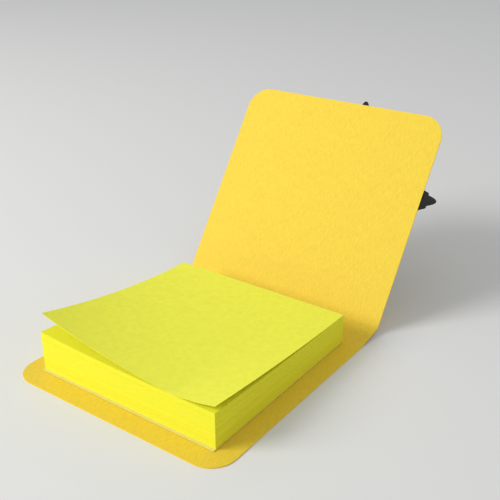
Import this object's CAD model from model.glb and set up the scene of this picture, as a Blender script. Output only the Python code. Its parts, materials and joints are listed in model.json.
"""Sticky note pad in a fold-over card cover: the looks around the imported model."""

import json
import math
import random

import bmesh
import bpy
from bpy.props import FloatProperty, FloatVectorProperty, IntProperty, PointerProperty
from bpy.types import Operator, Panel, PropertyGroup
from mathutils import Matrix, Vector


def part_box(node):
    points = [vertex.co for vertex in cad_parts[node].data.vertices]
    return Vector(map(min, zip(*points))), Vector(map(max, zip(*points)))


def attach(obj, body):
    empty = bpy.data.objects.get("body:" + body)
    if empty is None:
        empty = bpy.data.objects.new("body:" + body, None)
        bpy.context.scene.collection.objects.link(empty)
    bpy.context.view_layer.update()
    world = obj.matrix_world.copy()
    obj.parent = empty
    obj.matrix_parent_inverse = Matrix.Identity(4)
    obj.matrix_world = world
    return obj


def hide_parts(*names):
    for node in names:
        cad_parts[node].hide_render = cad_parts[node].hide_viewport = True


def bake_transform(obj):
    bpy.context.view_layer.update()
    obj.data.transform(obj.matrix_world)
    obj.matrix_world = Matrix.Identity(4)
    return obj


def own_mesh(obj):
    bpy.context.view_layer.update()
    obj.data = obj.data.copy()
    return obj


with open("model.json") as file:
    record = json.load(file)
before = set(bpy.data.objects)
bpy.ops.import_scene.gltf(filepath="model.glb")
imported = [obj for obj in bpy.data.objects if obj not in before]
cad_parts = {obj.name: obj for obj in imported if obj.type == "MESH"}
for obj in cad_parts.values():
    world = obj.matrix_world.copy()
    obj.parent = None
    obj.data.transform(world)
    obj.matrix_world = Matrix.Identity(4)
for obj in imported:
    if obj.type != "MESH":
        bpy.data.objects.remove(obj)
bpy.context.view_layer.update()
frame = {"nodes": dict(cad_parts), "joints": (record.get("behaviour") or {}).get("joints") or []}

bl_info = {
    "name": "Sticky Note Pad",
    "version": (1, 0, 0),
    "blender": (4, 5, 0),
    "location": "3D View > Sidebar > Note Pad",
    "description": "Builds a sticky note pad in a folded card cover around its CAD frame",
    "category": "Object",
}

MM = 0.001
JOINTS = {joint["name"]: joint for joint in frame["joints"]}
FOLD_1 = Vector(JOINTS["spine_fold"]["pos_m"])
FOLD_2 = Vector(JOINTS["cover_fold"]["pos_m"])
BACK_LOW, BACK_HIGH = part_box("back_panel")
BLOCK_LOW, BLOCK_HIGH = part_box("note_block")
CARD = BACK_HIGH.z - BACK_LOW.z
LOBE_LENGTH, LOBE_WIDTH, SHOULDER_WIDTH = 3.6 * MM, 4.2 * MM, 6.1 * MM
HEART = 4.6 * MM
TEETH, TOOTH_STEP, TOOTH_RADIUS = 3, 3.6 * MM, 0.6 * MM
SPINE_RISE = math.atan2(FOLD_2.z - FOLD_1.z, FOLD_2.y - FOLD_1.y)


class CoverSettings(PropertyGroup):
    """Sizes and colours of the folded card cover"""

    width: FloatProperty(
        name="Width", description="Cover width along its folds",
        default=BACK_HIGH.x - BACK_LOW.x, unit="LENGTH", precision=4)
    corner: FloatProperty(
        name="Corner radius", description="Radius of the four outer corners",
        default=9.0 * MM, unit="LENGTH", precision=4)
    front_length: FloatProperty(
        name="Front length", description="Front panel, second fold to free edge",
        default=84.6 * MM, unit="LENGTH", precision=4)
    crease: FloatProperty(
        name="Crease", description="Width of the soft bend at each fold",
        default=2.6 * MM, unit="LENGTH", precision=4)
    front_rise: FloatProperty(
        name="Front rise", description="Angle of the open front panel above the table",
        default=math.radians(55.3), unit="ROTATION")
    colour: FloatVectorProperty(
        name="Card colour", description="Colour of the cover card",
        default=(0.88, 0.635, 0.050), subtype="COLOR", min=0, max=1)


class NoteSettings(PropertyGroup):
    """Sizes and colours of the pad of notes"""

    sheets: IntProperty(
        name="Sheets", description="Number of notes in the block", default=118, min=20, max=200)
    back_height: FloatProperty(
        name="Back height", description="Height of the block at its glued edge",
        default=11.15 * MM, unit="LENGTH", precision=4)
    swell: FloatProperty(
        name="Swell", description="How much higher the loose front edge is",
        default=2.0 * MM, unit="LENGTH", precision=4)
    fan: FloatProperty(
        name="Fan", description="Further rise of the front left corner",
        default=1.8 * MM, unit="LENGTH", precision=4)
    left_curl: FloatProperty(
        name="Left curl", description="Lift of the top note's front left corner",
        default=7.0 * MM, unit="LENGTH", precision=4)
    right_curl: FloatProperty(
        name="Right curl", description="Lift of the top note's front right corner",
        default=2.4 * MM, unit="LENGTH", precision=4)
    thickness: FloatProperty(
        name="Note thickness", description="Thickness of one note",
        default=0.1 * MM, unit="LENGTH", precision=5)
    colour: FloatVectorProperty(
        name="Note colour", description="Colour of the notes",
        default=(0.92, 0.93, 0.080), subtype="COLOR", min=0, max=1)
    edge_colour: FloatVectorProperty(
        name="Edge colour", description="Colour of the block's cut edges",
        default=(0.88, 0.85, 0.045), subtype="COLOR", min=0, max=1)
    backing_colour: FloatVectorProperty(
        name="Backing colour", description="Colour of the backing sheet",
        default=(0.80, 0.74, 0.20), subtype="COLOR", min=0, max=1)


class FlowerSettings(PropertyGroup):
    """Sizes and colour of the die-cut flower"""

    petals: IntProperty(
        name="Petals", description="Number of petals", default=8, min=3, max=16)
    length: FloatProperty(
        name="Petal length", description="Centre of the flower to a petal's tip",
        default=38.3 * MM, unit="LENGTH", precision=4)
    petal_width: FloatProperty(
        name="Petal width", description="Greatest width of a petal",
        default=12.0 * MM, unit="LENGTH", precision=4)
    across: FloatProperty(
        name="Across", description="Flower centre along the folds",
        default=13.3 * MM, unit="LENGTH", precision=4)
    up: FloatProperty(
        name="Up", description="Flower centre above the second fold",
        default=48.4 * MM, unit="LENGTH", precision=4)
    turn: FloatProperty(
        name="Turn", description="Angle of the first petal",
        default=math.radians(6.0), unit="ROTATION")
    thickness: FloatProperty(
        name="Thickness", description="Thickness of the flower's card",
        default=0.5 * MM, unit="LENGTH", precision=5)
    colour: FloatVectorProperty(
        name="Flower colour", description="Colour of the flower's card",
        default=(0.004, 0.004, 0.0045), subtype="COLOR", min=0, max=1)


class StageSettings(PropertyGroup):
    """Camera, lamps and floor"""

    camera_place: FloatVectorProperty(
        name="Camera", description="Where the camera stands",
        default=(0.16356, -0.18862, 0.16065), subtype="XYZ", precision=4)
    azimuth: FloatProperty(
        name="Azimuth", description="Camera's turn to the object's right",
        default=math.radians(36.03), unit="ROTATION")
    elevation: FloatProperty(
        name="Elevation", description="Camera's height angle",
        default=math.radians(25.14), unit="ROTATION")
    roll: FloatProperty(
        name="Roll", description="Camera's roll", default=math.radians(-0.34), unit="ROTATION")
    lens: FloatProperty(name="Lens", description="Focal length in millimetres", default=58.84)
    key: FloatProperty(name="Key light", description="Power of the key light", default=8.9)
    fill: FloatProperty(name="Fill light", description="Strength of the room's light", default=0.55)
    floor: FloatVectorProperty(
        name="Floor colour", description="Colour of the floor",
        default=(0.80, 0.80, 0.79), subtype="COLOR", min=0, max=1)


def shader(name, roughness, specular=0.5):
    """A new node material. Returns the material, its node maker and its Principled node."""
    material = bpy.data.materials.new(name)
    material.use_nodes = True
    tree = material.node_tree
    principled = tree.nodes["Principled BSDF"]
    principled.inputs["Roughness"].default_value = roughness
    principled.inputs["Specular IOR Level"].default_value = specular

    def add(kind, links=(), **values):
        node = tree.nodes.new(kind)
        for key, value in values.items():
            if key in node.inputs:
                node.inputs[key].default_value = value
            else:
                setattr(node, key, value)
        for socket, source in dict(links).items():
            tree.links.new(source, node.inputs[socket])
        return node

    return material, add, principled, tree.links


def paper_mix(add, base, darker, factor):
    """Mixes two colours by a factor socket."""
    mix = add("ShaderNodeMix", data_type="RGBA")
    mix.inputs["A"].default_value = (*base, 1)
    mix.inputs["B"].default_value = (*darker, 1)
    sockets = [s for s in mix.inputs if s.name == "A" and s.type == "RGBA"]
    sockets[0].default_value = (*base, 1)
    sockets = [s for s in mix.inputs if s.name == "B" and s.type == "RGBA"]
    sockets[0].default_value = (*darker, 1)
    factor_socket = next(s for s in mix.inputs if s.name == "Factor" and s.type == "VALUE")
    factor.id_data.links.new(factor, factor_socket)
    return next(s for s in mix.outputs if s.type == "RGBA")


def shade(colour, share):
    """The same colour, darker or lighter by a share."""
    return tuple(min(1.0, channel * share) for channel in colour)


def card_material(colour):
    """Coloured cover card with a fine linen emboss and soft fibre mottling."""
    material, add, principled, link = shader("cover_card", 0.62, 0.3)
    uv = add("ShaderNodeUVMap", uv_map="strip")
    threads = []
    for stretch in ((1.0, 0.16, 1.0), (0.3, 0.8, 1.0)):
        turned = add("ShaderNodeMapping", {"Vector": uv.outputs["UV"]})
        turned.inputs["Scale"].default_value = stretch
        threads.append(add("ShaderNodeTexNoise", {"Vector": turned.outputs["Vector"]},
                           Scale=240.0, Detail=3.0, Roughness=0.55))
    linen = add("ShaderNodeMath", {0: threads[1].outputs["Fac"], 2: threads[0].outputs["Fac"]},
                operation="MULTIPLY_ADD")
    linen.inputs[1].default_value = 0.45
    bump = add("ShaderNodeBump", {"Height": linen.outputs["Value"]}, Strength=0.8, Distance=0.00022)
    fibre = add("ShaderNodeTexNoise", {"Vector": uv.outputs["UV"]},
                Scale=14.0, Detail=8.0, Roughness=0.7)
    tone = add("ShaderNodeMath", {0: fibre.outputs["Fac"], 2: linen.outputs["Value"]},
               operation="MULTIPLY_ADD")
    tone.inputs[1].default_value = 0.25
    spread = add("ShaderNodeMapRange", {"Value": tone.outputs["Value"]})
    spread.inputs["From Min"].default_value = 0.65
    spread.inputs["From Max"].default_value = 1.05
    colour_out = paper_mix(add, shade(colour, 1.05), shade(colour, 0.92), spread.outputs["Result"])
    link.new(colour_out, principled.inputs["Base Color"])
    link.new(bump.outputs["Normal"], principled.inputs["Normal"])
    return material


def note_material(name, colour, bump_size):
    """Smooth office paper: faint fibre clouds, a little bump, no gloss."""
    material, add, principled, link = shader(name, 0.75, 0.2)
    place = add("ShaderNodeTexCoord")
    cloud = add("ShaderNodeTexNoise", {"Vector": place.outputs["Object"]},
                Scale=420.0, Detail=5.0, Roughness=0.6)
    grain = add("ShaderNodeTexNoise", {"Vector": place.outputs["Object"]},
                Scale=2600.0, Detail=3.0, Roughness=0.55)
    spread = add("ShaderNodeMapRange", {"Value": cloud.outputs["Fac"]})
    spread.inputs["From Min"].default_value = 0.3
    spread.inputs["From Max"].default_value = 0.7
    colour_out = paper_mix(add, shade(colour, 1.03), shade(colour, 0.95), spread.outputs["Result"])
    bump = add("ShaderNodeBump", {"Height": grain.outputs["Fac"]}, Strength=0.5, Distance=bump_size)
    link.new(colour_out, principled.inputs["Base Color"])
    link.new(bump.outputs["Normal"], principled.inputs["Normal"])
    return material


def block_material(colour):
    """Cut note edges: each sheet a slightly different tone, with a fine saw-cut grain."""
    material, add, principled, link = shader("note_edges", 0.8, 0.12)
    tone = add("ShaderNodeAttribute", attribute_name="sheet_tone", attribute_type="GEOMETRY")
    place = add("ShaderNodeTexCoord")
    stretch = add("ShaderNodeMapping", {"Vector": place.outputs["Object"]})
    stretch.inputs["Scale"].default_value = (1.0, 1.0, 14.0)
    grain = add("ShaderNodeTexNoise", {"Vector": stretch.outputs["Vector"]},
                Scale=500.0, Detail=4.0, Roughness=0.6)
    both = add("ShaderNodeMath", {0: tone.outputs["Fac"], 1: grain.outputs["Fac"]},
               operation="MULTIPLY_ADD")
    both.inputs[2].default_value = 0.0
    colour_out = paper_mix(add, shade(colour, 1.03), shade(colour, 0.90), both.outputs["Value"])
    bump = add("ShaderNodeBump", {"Height": grain.outputs["Fac"]}, Strength=0.3, Distance=0.00006)
    link.new(colour_out, principled.inputs["Base Color"])
    link.new(bump.outputs["Normal"], principled.inputs["Normal"])
    return material


def flower_material(colour):
    """Black card with a satin face and a faint fibre grain."""
    material, add, principled, link = shader("flower_card", 0.55, 0.18)
    place = add("ShaderNodeTexCoord")
    grain = add("ShaderNodeTexNoise", {"Vector": place.outputs["Object"]},
                Scale=1500.0, Detail=4.0, Roughness=0.6)
    colour_out = paper_mix(add, shade(colour, 0.8), shade(colour, 2.0), grain.outputs["Fac"])
    bump = add("ShaderNodeBump", {"Height": grain.outputs["Fac"]}, Strength=0.35, Distance=0.00006)
    link.new(colour_out, principled.inputs["Base Color"])
    link.new(bump.outputs["Normal"], principled.inputs["Normal"])
    return material


def floor_material(colour):
    """A plain pale floor."""
    material, add, principled, link = shader("floor", 0.9, 0.1)
    place = add("ShaderNodeTexCoord")
    grain = add("ShaderNodeTexNoise", {"Vector": place.outputs["Object"]}, Scale=3.0, Detail=2.0)
    colour_out = paper_mix(add, colour, shade(colour, 0.985), grain.outputs["Fac"])
    link.new(colour_out, principled.inputs["Base Color"])
    return material


def new_piece(name, mesh_maker, material, smooth=True):
    """A finished object at the origin, from a bmesh in the row frame."""
    mesh = bpy.data.meshes.new(name)
    mesh_maker.to_mesh(mesh)
    mesh_maker.free()
    mesh.materials.append(material)
    if smooth:
        mesh.shade_smooth()
    piece = bpy.data.objects.new(name, mesh)
    bpy.context.scene.collection.objects.link(piece)
    return piece


def add_modifier(piece, kind, **values):
    modifier = piece.modifiers.new(kind.title(), kind)
    for key, value in values.items():
        setattr(modifier, key, value)
    return modifier


def thicken(piece, thickness, offset, sharp=40):
    """Gives a thin piece its thickness for good, with crisp cut edges."""
    add_modifier(piece, "SOLIDIFY", thickness=thickness, offset=offset, use_even_offset=True)
    solid = bpy.data.meshes.new_from_object(
        piece.evaluated_get(bpy.context.evaluated_depsgraph_get()))
    piece.modifiers.clear()
    piece.data = solid
    solid.shade_smooth()
    solid.set_sharp_from_angle(angle=math.radians(sharp))


def strip_line(cover):
    """The card's middle line, front edge to free edge, as closely spaced (distance, y, z)."""
    step = 0.05 * MM
    first = FOLD_1.y - BACK_LOW.y
    second = first + (FOLD_2 - FOLD_1).length
    rises = [(first, SPINE_RISE), (second, cover.front_rise - SPINE_RISE)]
    distance, y, z = 0.0, BACK_LOW.y, FOLD_1.z
    line = [(distance, y, z)]
    while distance < second + cover.front_length + step:
        middle = distance + step / 2
        angle = 0.0
        for place, rise in rises:
            share = min(1.0, max(0.0, (middle - place) / cover.crease + 0.5))
            angle += rise * share * share * (3 - 2 * share)
        y += step * math.cos(angle)
        z += step * math.sin(angle)
        distance += step
        line.append((distance, y, z))
    return line, first, second


def flat_strip(cover, start, end, rounded):
    """A flat piece of card from start to end along Y, with the corners at the rounded end cut round."""
    maker = bmesh.new()
    bmesh.ops.create_grid(maker, x_segments=1, y_segments=1, size=0.5)
    bmesh.ops.scale(maker, vec=(cover.width, end - start, 1), verts=maker.verts)
    bmesh.ops.translate(maker, vec=(0, (start + end) / 2, 0), verts=maker.verts)
    corners = [v for v in maker.verts if abs(v.co.y - rounded) < MM]
    bmesh.ops.bevel(maker, geom=corners, offset=cover.corner, offset_type="OFFSET",
                    segments=20, profile=0.5, affect="VERTICES", material=-1)
    return maker


def slice_strip(maker, places, normal):
    """Cuts a flat strip across at each place."""
    for place in places:
        bmesh.ops.bisect_plane(
            maker, geom=maker.verts[:] + maker.edges[:] + maker.faces[:],
            plane_co=Vector(normal) * place, plane_no=normal)


def fold_strip(maker, line):
    """Lays a flat strip along the folded line, and keeps its flat place as a UV map."""
    flat = maker.loops.layers.uv.new("strip")
    for face in maker.faces:
        for loop in face.loops:
            loop[flat].uv = (loop.vert.co.x / 0.1, loop.vert.co.y / 0.1)
    step = line[1][0] - line[0][0]
    for vert in maker.verts:
        index = min(len(line) - 2, max(0, int(vert.co.y / step)))
        share = vert.co.y / step - index
        low, high = line[index], line[index + 1]
        vert.co = (vert.co.x, low[1] + (high[1] - low[1]) * share, low[2] + (high[2] - low[2]) * share)


def steps_between(start, end, spacing):
    """Evenly spaced places inside a span."""
    count = max(1, round((end - start) / spacing))
    return [start + (end - start) * i / count for i in range(1, count)]


class PAD_OT_cover(Operator):
    """Build the folded card cover, one strip in two halves that meet in the middle of the spine"""

    bl_idname = "notepad.cover"
    bl_label = "Cover"

    def execute(self, context):
        cover = context.scene.pad_cover
        line, first, second = strip_line(cover)
        middle, last = (first + second) / 2, second + cover.front_length
        material = card_material(cover.colour)
        halves = [
            ("cover_back", 0.0, middle, 0.0, first, ("back_cover", "spine"), ("back_panel", "spine_panel")),
            ("cover_front", middle, last, last, second, ("spine", "front_cover"), ("front_panel",)),
        ]
        for name, start, end, rounded, fold, bodies, nodes in halves:
            maker = flat_strip(cover, start, end, rounded)
            near = [fold + cover.crease * (i / 12 - 0.5) for i in range(13)]
            slice_strip(maker, steps_between(start, end, 3 * MM) + near, (0, 1, 0))
            slice_strip(maker, steps_between(-cover.width / 2, cover.width / 2, 5 * MM), (1, 0, 0))
            fold_strip(maker, line)
            bmesh.ops.remove_doubles(maker, verts=maker.verts, dist=0.01 * MM)
            bmesh.ops.recalc_face_normals(maker, faces=maker.faces)
            piece = new_piece(name, maker, material)
            thicken(piece, CARD, 0.0)
            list(bodies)
            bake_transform(piece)
            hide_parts(*nodes)
        return {"FINISHED"}


def block_rise(notes, left, forward, share):
    """Height of a sheet above the backing, at a share of the block's height."""
    swell = notes.swell * forward**2 * share**1.3
    fan = notes.fan * left**3 * forward**2 * share**3
    return notes.back_height * share + swell + fan


def note_lift(notes, left, forward):
    """Gap between the block and the top note."""
    meet = 0.22
    left_share = max(0.0, (left - meet) / (1 - meet))
    right_share = max(0.0, (meet - left) / meet)
    left_part = notes.left_curl * left_share**1.4 * forward**1.7
    right_part = notes.right_curl * right_share**1.6 * forward**1.5
    return 0.03 * MM + left_part + right_part


def pad_shares(co):
    """Shares to the left and forward over the pad."""
    side = BLOCK_HIGH - BLOCK_LOW
    return (BLOCK_HIGH.x - co.x) / side.x, (BLOCK_HIGH.y - co.y) / side.y


def pad_grid(maker, segments, inset=0.0):
    """A flat grid the size of a note, over the pad. Returns its new vertices and faces."""
    centre = (BLOCK_LOW + BLOCK_HIGH) / 2
    side = BLOCK_HIGH.x - BLOCK_LOW.x - 2 * inset
    grid = bmesh.ops.create_grid(maker, x_segments=segments, y_segments=segments, size=side / 2,
                                 matrix=Matrix.Translation((centre.x, centre.y, 0)))
    faces = dict.fromkeys(face for vert in grid["verts"] for face in vert.link_faces)
    return grid["verts"], list(faces)


class PAD_OT_block(Operator):
    """Build the block of notes, sheet by sheet"""

    bl_idname = "notepad.block"
    bl_label = "Note block"

    def execute(self, context):
        notes = context.scene.pad_notes
        random.seed(7)
        maker = bmesh.new()
        tone = maker.faces.layers.float.new("sheet_tone")
        for index in range(notes.sheets):
            low, high = index / notes.sheets, (index + 0.96) / notes.sheets
            verts, faces = pad_grid(maker, 7)
            slip = Vector((random.gauss(0, 0.03), random.gauss(0, 0.03), 0)) * MM
            grey = random.random()
            grown = bmesh.ops.extrude_face_region(maker, geom=faces, use_keep_orig=True)["geom"]
            upper = [item for item in grown if isinstance(item, bmesh.types.BMVert)]
            for group, share in ((verts, low), (upper, high)):
                for vert in group:
                    left, forward = pad_shares(vert.co)
                    vert.co.z = BLOCK_LOW.z + block_rise(notes, left, forward, share)
                    vert.co += slip * forward
            for face in {f for v in verts + upper for f in v.link_faces}:
                face[tone] = grey
        bmesh.ops.recalc_face_normals(maker, faces=maker.faces)
        piece = new_piece("note_sheets", maker, block_material(notes.edge_colour), smooth=False)
        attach(piece, "back_cover")
        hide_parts("note_block")
        return {"FINISHED"}


class PAD_OT_top_note(Operator):
    """Build the top note, glued along its back edge and curled in front"""

    bl_idname = "notepad.top_note"
    bl_label = "Top note"

    def execute(self, context):
        notes = context.scene.pad_notes
        maker = bmesh.new()
        verts, faces = pad_grid(maker, 56)
        pull = 0.9 * MM
        for vert in verts:
            left, forward = pad_shares(vert.co)
            lift = note_lift(notes, left, forward)
            drawn = pull * (lift / notes.left_curl) ** 1.5
            vert.co.z = BLOCK_LOW.z + block_rise(notes, left, forward, 1.0) + lift
            vert.co += Vector((drawn * 0.5, drawn, 0))
        bmesh.ops.recalc_face_normals(maker, faces=maker.faces)
        if sum(face.normal.z for face in maker.faces) < 0:
            bmesh.ops.reverse_faces(maker, faces=maker.faces)
        piece = new_piece("curled_note", maker, note_material("note_face", notes.colour, 0.00004))
        thicken(piece, notes.thickness, 1.0)
        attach(piece, "back_cover")
        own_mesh(piece)
        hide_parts("top_note")
        return {"FINISHED"}


class PAD_OT_backing(Operator):
    """Finish the backing sheet and the mounting tape"""

    bl_idname = "notepad.backing"
    bl_label = "Backing"

    def execute(self, context):
        notes = context.scene.pad_notes
        finishes = {
            "backing_sheet": note_material("backing_paper", notes.backing_colour, 0.00006),
            "mounting_tape": note_material("tape", (0.85, 0.85, 0.82), 0.00003),
        }
        for node, material in finishes.items():
            mesh = frame["nodes"][node].data
            mesh.materials.clear()
            mesh.materials.append(material)
        return {"FINISHED"}


def petal_half_width(flower, along):
    """Half the petal's width at a distance from the centre: leaf, teeth, shoulders, rounded lobe."""
    step = flower.length - LOBE_LENGTH
    if along > step:
        return LOBE_WIDTH / 2 * math.sqrt(max(0.0, 1 - ((along - step) / LOBE_LENGTH) ** 1.1))
    share = along / step
    bulge = flower.petal_width / 2 - SHOULDER_WIDTH / 4
    plain = SHOULDER_WIDTH / 2 * share + bulge * 4 * share * (1 - share)
    teeth = 0.0
    for count in range(1, TEETH + 1):
        offset = (step - along - count * TOOTH_STEP * 0.93) / TOOTH_RADIUS
        teeth = max(teeth, math.sqrt(max(0.0, 1 - offset * offset)) * TOOTH_RADIUS)
    return plain + teeth


class PAD_OT_flower(Operator):
    """Build the die-cut flower with embossed petals"""

    bl_idname = "notepad.flower"
    bl_label = "Flower"

    def execute(self, context):
        flower = context.scene.pad_flower
        cover = context.scene.pad_cover
        maker = bmesh.new()
        grid = bmesh.ops.create_grid(maker, x_segments=230, y_segments=10, size=0.5)
        for vert in grid["verts"]:
            share = min(0.9995, max(0.0005, vert.co.x + 0.5))
            along = flower.length * share
            side = vert.co.y * 2
            ridge = (1 - abs(side)) ** 0.8 * math.sin(math.pi * share) ** 0.5
            vert.co = (along, side * petal_half_width(flower, along), -0.22 * MM * ridge)
        bmesh.ops.spin(
            maker, geom=maker.verts[:] + maker.edges[:] + maker.faces[:], cent=(0, 0, 0),
            axis=(0, 0, 1), angle=math.tau * (flower.petals - 1) / flower.petals,
            steps=flower.petals - 1, use_duplicate=True)
        bends = [math.pi / 2 * i / 8 for i in range(9)]
        profile = [maker.verts.new((HEART * math.cos(bend), 0, -0.45 * MM * math.sin(bend))) for bend in bends]
        rim = [maker.edges.new(pair) for pair in zip(profile, profile[1:])]
        bmesh.ops.spin(maker, geom=profile + rim, cent=(0, 0, 0), axis=(0, 0, 1),
                       angle=math.tau, steps=64, use_merge=True)
        bmesh.ops.remove_doubles(maker, verts=maker.verts, dist=0.002 * MM)
        bmesh.ops.recalc_face_normals(maker, faces=maker.faces)
        for face in maker.faces:
            if face.normal.z > 0:
                face.normal_flip()
        place = Matrix.Translation(FOLD_2) @ Matrix.Rotation(cover.front_rise, 4, "X")
        place = place @ Matrix.Translation((flower.across, flower.up, -CARD / 2))
        place = place @ Matrix.Rotation(flower.turn, 4, "Z")
        bmesh.ops.transform(maker, matrix=place, verts=maker.verts)
        piece = new_piece("flower", maker, flower_material(flower.colour))
        thicken(piece, flower.thickness * 0.6, 1.0)
        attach(piece, "front_cover")
        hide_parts("cover_flower")
        return {"FINISHED"}


class PAD_OT_stage(Operator):
    """Set up the floor, the lamps and the camera"""

    bl_idname = "notepad.stage"
    bl_label = "Stage"

    def execute(self, context):
        stage = context.scene.pad_stage
        scene = context.scene
        maker = bmesh.new()
        bmesh.ops.create_grid(maker, x_segments=1, y_segments=1, size=3.0)
        floor = new_piece("floor", maker, floor_material(stage.floor))

        lamp = bpy.data.lights.new("key", "AREA")
        lamp.energy = stage.key
        lamp.size = 0.5
        lamp.color = (1.0, 0.985, 0.96)
        key = bpy.data.objects.new("key", lamp)
        towards = Vector((-0.52, -0.62, 0.50)).normalized()
        key.rotation_euler = towards.to_track_quat("Z", "Y").to_euler()
        key.location = towards * 1.1
        scene.collection.objects.link(key)

        world = bpy.data.worlds.new("room")
        world.use_nodes = True
        tree = world.node_tree
        background = tree.nodes["Background"]
        background.inputs["Color"].default_value = (0.97, 0.985, 1.0, 1)
        background.inputs["Strength"].default_value = stage.fill
        backdrop = tree.nodes.new("ShaderNodeBackground")
        backdrop.inputs["Color"].default_value = (0.86, 0.86, 0.85, 1)
        path = tree.nodes.new("ShaderNodeLightPath")
        mix = tree.nodes.new("ShaderNodeMixShader")
        tree.links.new(path.outputs["Is Camera Ray"], mix.inputs["Fac"])
        tree.links.new(background.outputs["Background"], mix.inputs[1])
        tree.links.new(backdrop.outputs["Background"], mix.inputs[2])
        tree.links.new(mix.outputs["Shader"], tree.nodes["World Output"].inputs["Surface"])
        scene.world = world

        scene.view_settings.view_transform = "Standard"
        camera_data = bpy.data.cameras.new("camera")
        camera_data.lens = stage.lens
        camera_data.sensor_width = 36.0
        camera_data.clip_start = 0.01
        camera = bpy.data.objects.new("camera", camera_data)
        az, el, roll = stage.azimuth, stage.elevation, stage.roll
        back = Vector((math.sin(az) * math.cos(el), -math.cos(az) * math.cos(el), math.sin(el)))
        right = Vector((0, 0, 1)).cross(back).normalized()
        up = back.cross(right)
        turned_right = right * math.cos(roll) + up * math.sin(roll)
        turned_up = up * math.cos(roll) - right * math.sin(roll)
        turn = Matrix((turned_right, turned_up, back)).transposed().to_4x4()
        camera.matrix_world = Matrix.Translation(stage.camera_place) @ turn
        scene.collection.objects.link(camera)
        scene.camera = camera
        return {"FINISHED"}


class PAD_PT_panel(Panel):
    """Lists the pad's pieces and their settings"""

    bl_idname = "PAD_PT_panel"
    bl_label = "Note Pad"
    bl_space_type = "VIEW_3D"
    bl_region_type = "UI"
    bl_category = "Note Pad"

    def draw(self, context):
        for group, operators in GROUPS:
            box = self.layout.box()
            settings = getattr(context.scene, group)
            for name in settings.bl_rna.properties.keys():
                if name not in {"rna_type", "name"}:
                    box.prop(settings, name)
            for operator in operators:
                box.operator(operator.bl_idname)


GROUPS = [
    ("pad_cover", [PAD_OT_cover]),
    ("pad_notes", [PAD_OT_block, PAD_OT_top_note, PAD_OT_backing]),
    ("pad_flower", [PAD_OT_flower]),
    ("pad_stage", [PAD_OT_stage]),
]
SETTINGS = {
    "pad_cover": CoverSettings,
    "pad_notes": NoteSettings,
    "pad_flower": FlowerSettings,
    "pad_stage": StageSettings,
}
OPERATORS = [operator for _, operators in GROUPS for operator in operators]
CLASSES = list(SETTINGS.values()) + OPERATORS + [PAD_PT_panel]


def register():
    for cls in CLASSES:
        bpy.utils.register_class(cls)
    for name, cls in SETTINGS.items():
        setattr(bpy.types.Scene, name, PointerProperty(type=cls))


def unregister():
    for name in SETTINGS:
        delattr(bpy.types.Scene, name)
    for cls in reversed(CLASSES):
        bpy.utils.unregister_class(cls)


def main():
    """Builds every piece and the stage."""
    register()
    bpy.ops.notepad.cover()
    bpy.ops.notepad.block()
    bpy.ops.notepad.top_note()
    bpy.ops.notepad.backing()
    bpy.ops.notepad.flower()
    bpy.ops.notepad.stage()
    bpy.context.view_layer.update()


if __name__ == "__main__":
    main()
